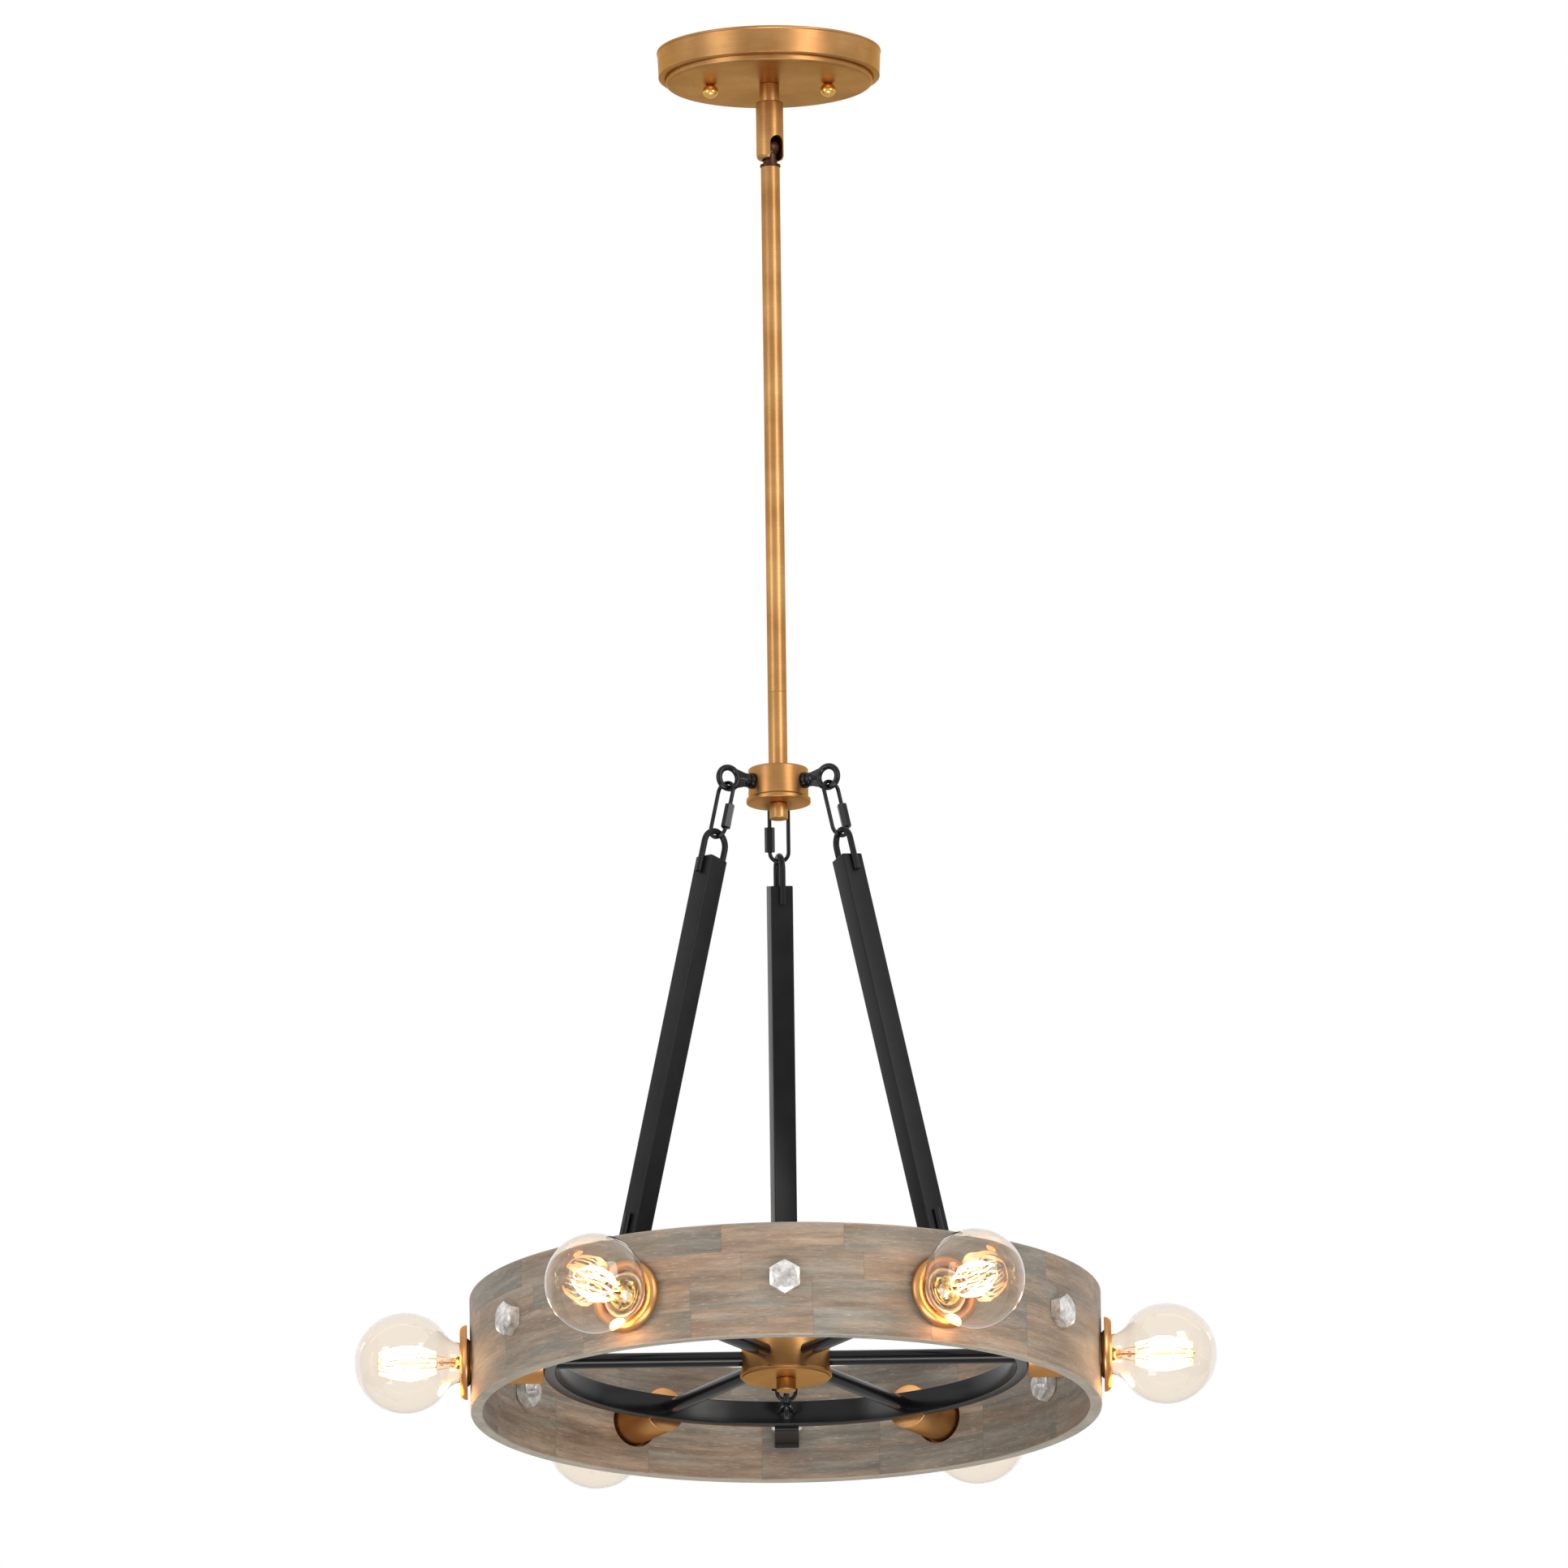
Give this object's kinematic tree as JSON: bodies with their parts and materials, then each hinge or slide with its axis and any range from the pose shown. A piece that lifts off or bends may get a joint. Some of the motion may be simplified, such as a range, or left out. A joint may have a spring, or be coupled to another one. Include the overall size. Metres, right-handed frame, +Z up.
{
  "type": "wagon wheel chandelier",
  "caption": "Wagon wheel chandelier: wooden band and spoked iron ring with outward globe bulbs, hung by linked bars from a brass stem and ceiling canopy",
  "frame": {"origin": "on the vertical axis, at the ceiling plane, between the two box screw slots", "axes": "+Z up towards the ceiling; +X along the crossbar, through lamp 1; the picture looks along +Y"},
  "size_m": [0.6828, 0.601, 1.106],
  "materials": {
    "antique_brass": "satin, brushed, aged",
    "black_steel": "satin black",
    "gloss_black": "glossy black",
    "pewter": "aged pewter, mottled",
    "zinc": "zinc plated",
    "aged_wood": "weathered grey-brown",
    "white_holder": "satin white",
    "screw_shell": "nickel-brass shell",
    "clear_glass": "clear"
  },
  "bodies": {
    "ceiling_group": {"crossbar": "zinc", "canopy": "antique_brass", "canopy_studs": "zinc", "canopy_knobs": "antique_brass", "nipple": "zinc", "nipple_locknuts": "zinc", "swivel_collar": "antique_brass"},
    "swivel": {"swivel_body": "antique_brass"},
    "stem": {"stem_tube": "black_steel", "rod_upper": "antique_brass", "rod_lower": "antique_brass", "upper_hub": "antique_brass", "upper_hub_cover": "antique_brass", "upper_finial": "antique_brass", "upper_eye_bolts": "gloss_black", "upper_eye_nuts": "gloss_black"},
    "hanger_back": {"hanger_bar_back": "black_steel", "quick_links_back": "gloss_black"},
    "hanger_left": {"hanger_bar_left": "black_steel", "quick_links_left": "gloss_black"},
    "hanger_right": {"hanger_bar_right": "black_steel", "quick_links_right": "gloss_black"},
    "sleeve_upper_back": {"link_sleeve_upper_back": "gloss_black"},
    "sleeve_lower_back": {"link_sleeve_lower_back": "gloss_black"},
    "sleeve_upper_left": {"link_sleeve_upper_left": "gloss_black"},
    "sleeve_lower_left": {"link_sleeve_lower_left": "gloss_black"},
    "sleeve_upper_right": {"link_sleeve_upper_right": "gloss_black"},
    "sleeve_lower_right": {"link_sleeve_lower_right": "gloss_black"},
    "wheel": {"wood_band": "aged_wood", "inner_ring": "black_steel", "spokes": "black_steel", "lower_hub": "antique_brass", "lower_hub_cover": "antique_brass", "lower_finial": "antique_brass", "hub_tie_bolt": "zinc", "ring_brackets": "black_steel", "lower_eye_bolts": "gloss_black", "lower_eye_nuts": "gloss_black", "hex_bolts": "pewter", "hex_nuts": "pewter", "socket_cups": "antique_brass", "lampholders": "white_holder"},
    "bulb_1": {"bulb_base_1": "screw_shell", "bulb_glass_1": "clear_glass"},
    "bulb_2": {"bulb_base_2": "screw_shell", "bulb_glass_2": "clear_glass"},
    "bulb_3": {"bulb_base_3": "screw_shell", "bulb_glass_3": "clear_glass"},
    "bulb_4": {"bulb_base_4": "screw_shell", "bulb_glass_4": "clear_glass"},
    "bulb_5": {"bulb_base_5": "screw_shell", "bulb_glass_5": "clear_glass"},
    "bulb_6": {"bulb_base_6": "screw_shell", "bulb_glass_6": "clear_glass"}
  },
  "joints": [
    {"name": "swivel_turn", "type": "hinge", "parent": "ceiling_group", "child": "swivel", "pos_m": [0, 0, -0.079], "axis": [0, 0, 1], "range_deg": [-175, 175]},
    {"name": "stem_tilt", "type": "hinge", "parent": "swivel", "child": "stem", "pos_m": [0, 0, -0.079], "axis": [-0.8192, -0.5736, 0], "range_deg": [-3, 45]},
    {"name": "wheel_sway", "type": "hinge", "parent": "stem", "child": "wheel", "pos_m": [0, 0, -0.40602], "axis": [0, 1, 0], "range_deg": [-3, 3]},
    {"name": "hanger_back_swing", "type": "hinge", "parent": "stem", "child": "hanger_back", "pos_m": [0, 0.04747, -0.60527], "axis": [0, 1, 0], "range_deg": [-5, 5]},
    {"name": "hanger_left_swing", "type": "hinge", "parent": "stem", "child": "hanger_left", "pos_m": [-0.04111, -0.02373, -0.60527], "axis": [0, 1, 0], "range_deg": [-5, 5]},
    {"name": "hanger_right_swing", "type": "hinge", "parent": "stem", "child": "hanger_right", "pos_m": [0.04111, -0.02373, -0.60527], "axis": [0, 1, 0], "range_deg": [-5, 5]},
    {"name": "sleeve_upper_back_travel", "type": "slide", "parent": "hanger_back", "child": "sleeve_upper_back", "axis": [0, -0.2318, 0.9728], "range_m": [0, 0.0075]},
    {"name": "sleeve_lower_back_travel", "type": "slide", "parent": "hanger_back", "child": "sleeve_lower_back", "axis": [0, -0.2318, 0.9728], "range_m": [0, 0.0075]},
    {"name": "sleeve_upper_left_travel", "type": "slide", "parent": "hanger_left", "child": "sleeve_upper_left", "axis": [0.2007, 0.1159, 0.9728], "range_m": [0, 0.0075]},
    {"name": "sleeve_lower_left_travel", "type": "slide", "parent": "hanger_left", "child": "sleeve_lower_left", "axis": [0.2007, 0.1159, 0.9728], "range_m": [0, 0.0075]},
    {"name": "sleeve_upper_right_travel", "type": "slide", "parent": "hanger_right", "child": "sleeve_upper_right", "axis": [-0.2007, 0.1159, 0.9728], "range_m": [0, 0.0075]},
    {"name": "sleeve_lower_right_travel", "type": "slide", "parent": "hanger_right", "child": "sleeve_lower_right", "axis": [-0.2007, 0.1159, 0.9728], "range_m": [0, 0.0075]},
    {"name": "bulb_1_removal", "type": "slide", "parent": "wheel", "child": "bulb_1", "axis": [1, 0, 0], "range_m": [0, 0.045]},
    {"name": "bulb_2_removal", "type": "slide", "parent": "wheel", "child": "bulb_2", "axis": [0.5, 0.866, 0], "range_m": [0, 0.045]},
    {"name": "bulb_3_removal", "type": "slide", "parent": "wheel", "child": "bulb_3", "axis": [-0.5, 0.866, 0], "range_m": [0, 0.045]},
    {"name": "bulb_4_removal", "type": "slide", "parent": "wheel", "child": "bulb_4", "axis": [-1, 0, 0], "range_m": [0, 0.045]},
    {"name": "bulb_5_removal", "type": "slide", "parent": "wheel", "child": "bulb_5", "axis": [-0.5, -0.866, 0], "range_m": [0, 0.045]},
    {"name": "bulb_6_removal", "type": "slide", "parent": "wheel", "child": "bulb_6", "axis": [0.5, -0.866, 0], "range_m": [0, 0.045]}
  ],
  "couplings": [
    {"joint": "hanger_back_swing", "follows": "wheel_sway", "ratio": 1.4413},
    {"joint": "hanger_left_swing", "follows": "wheel_sway", "ratio": 1.4413},
    {"joint": "hanger_right_swing", "follows": "wheel_sway", "ratio": 1.4413}
  ]
}
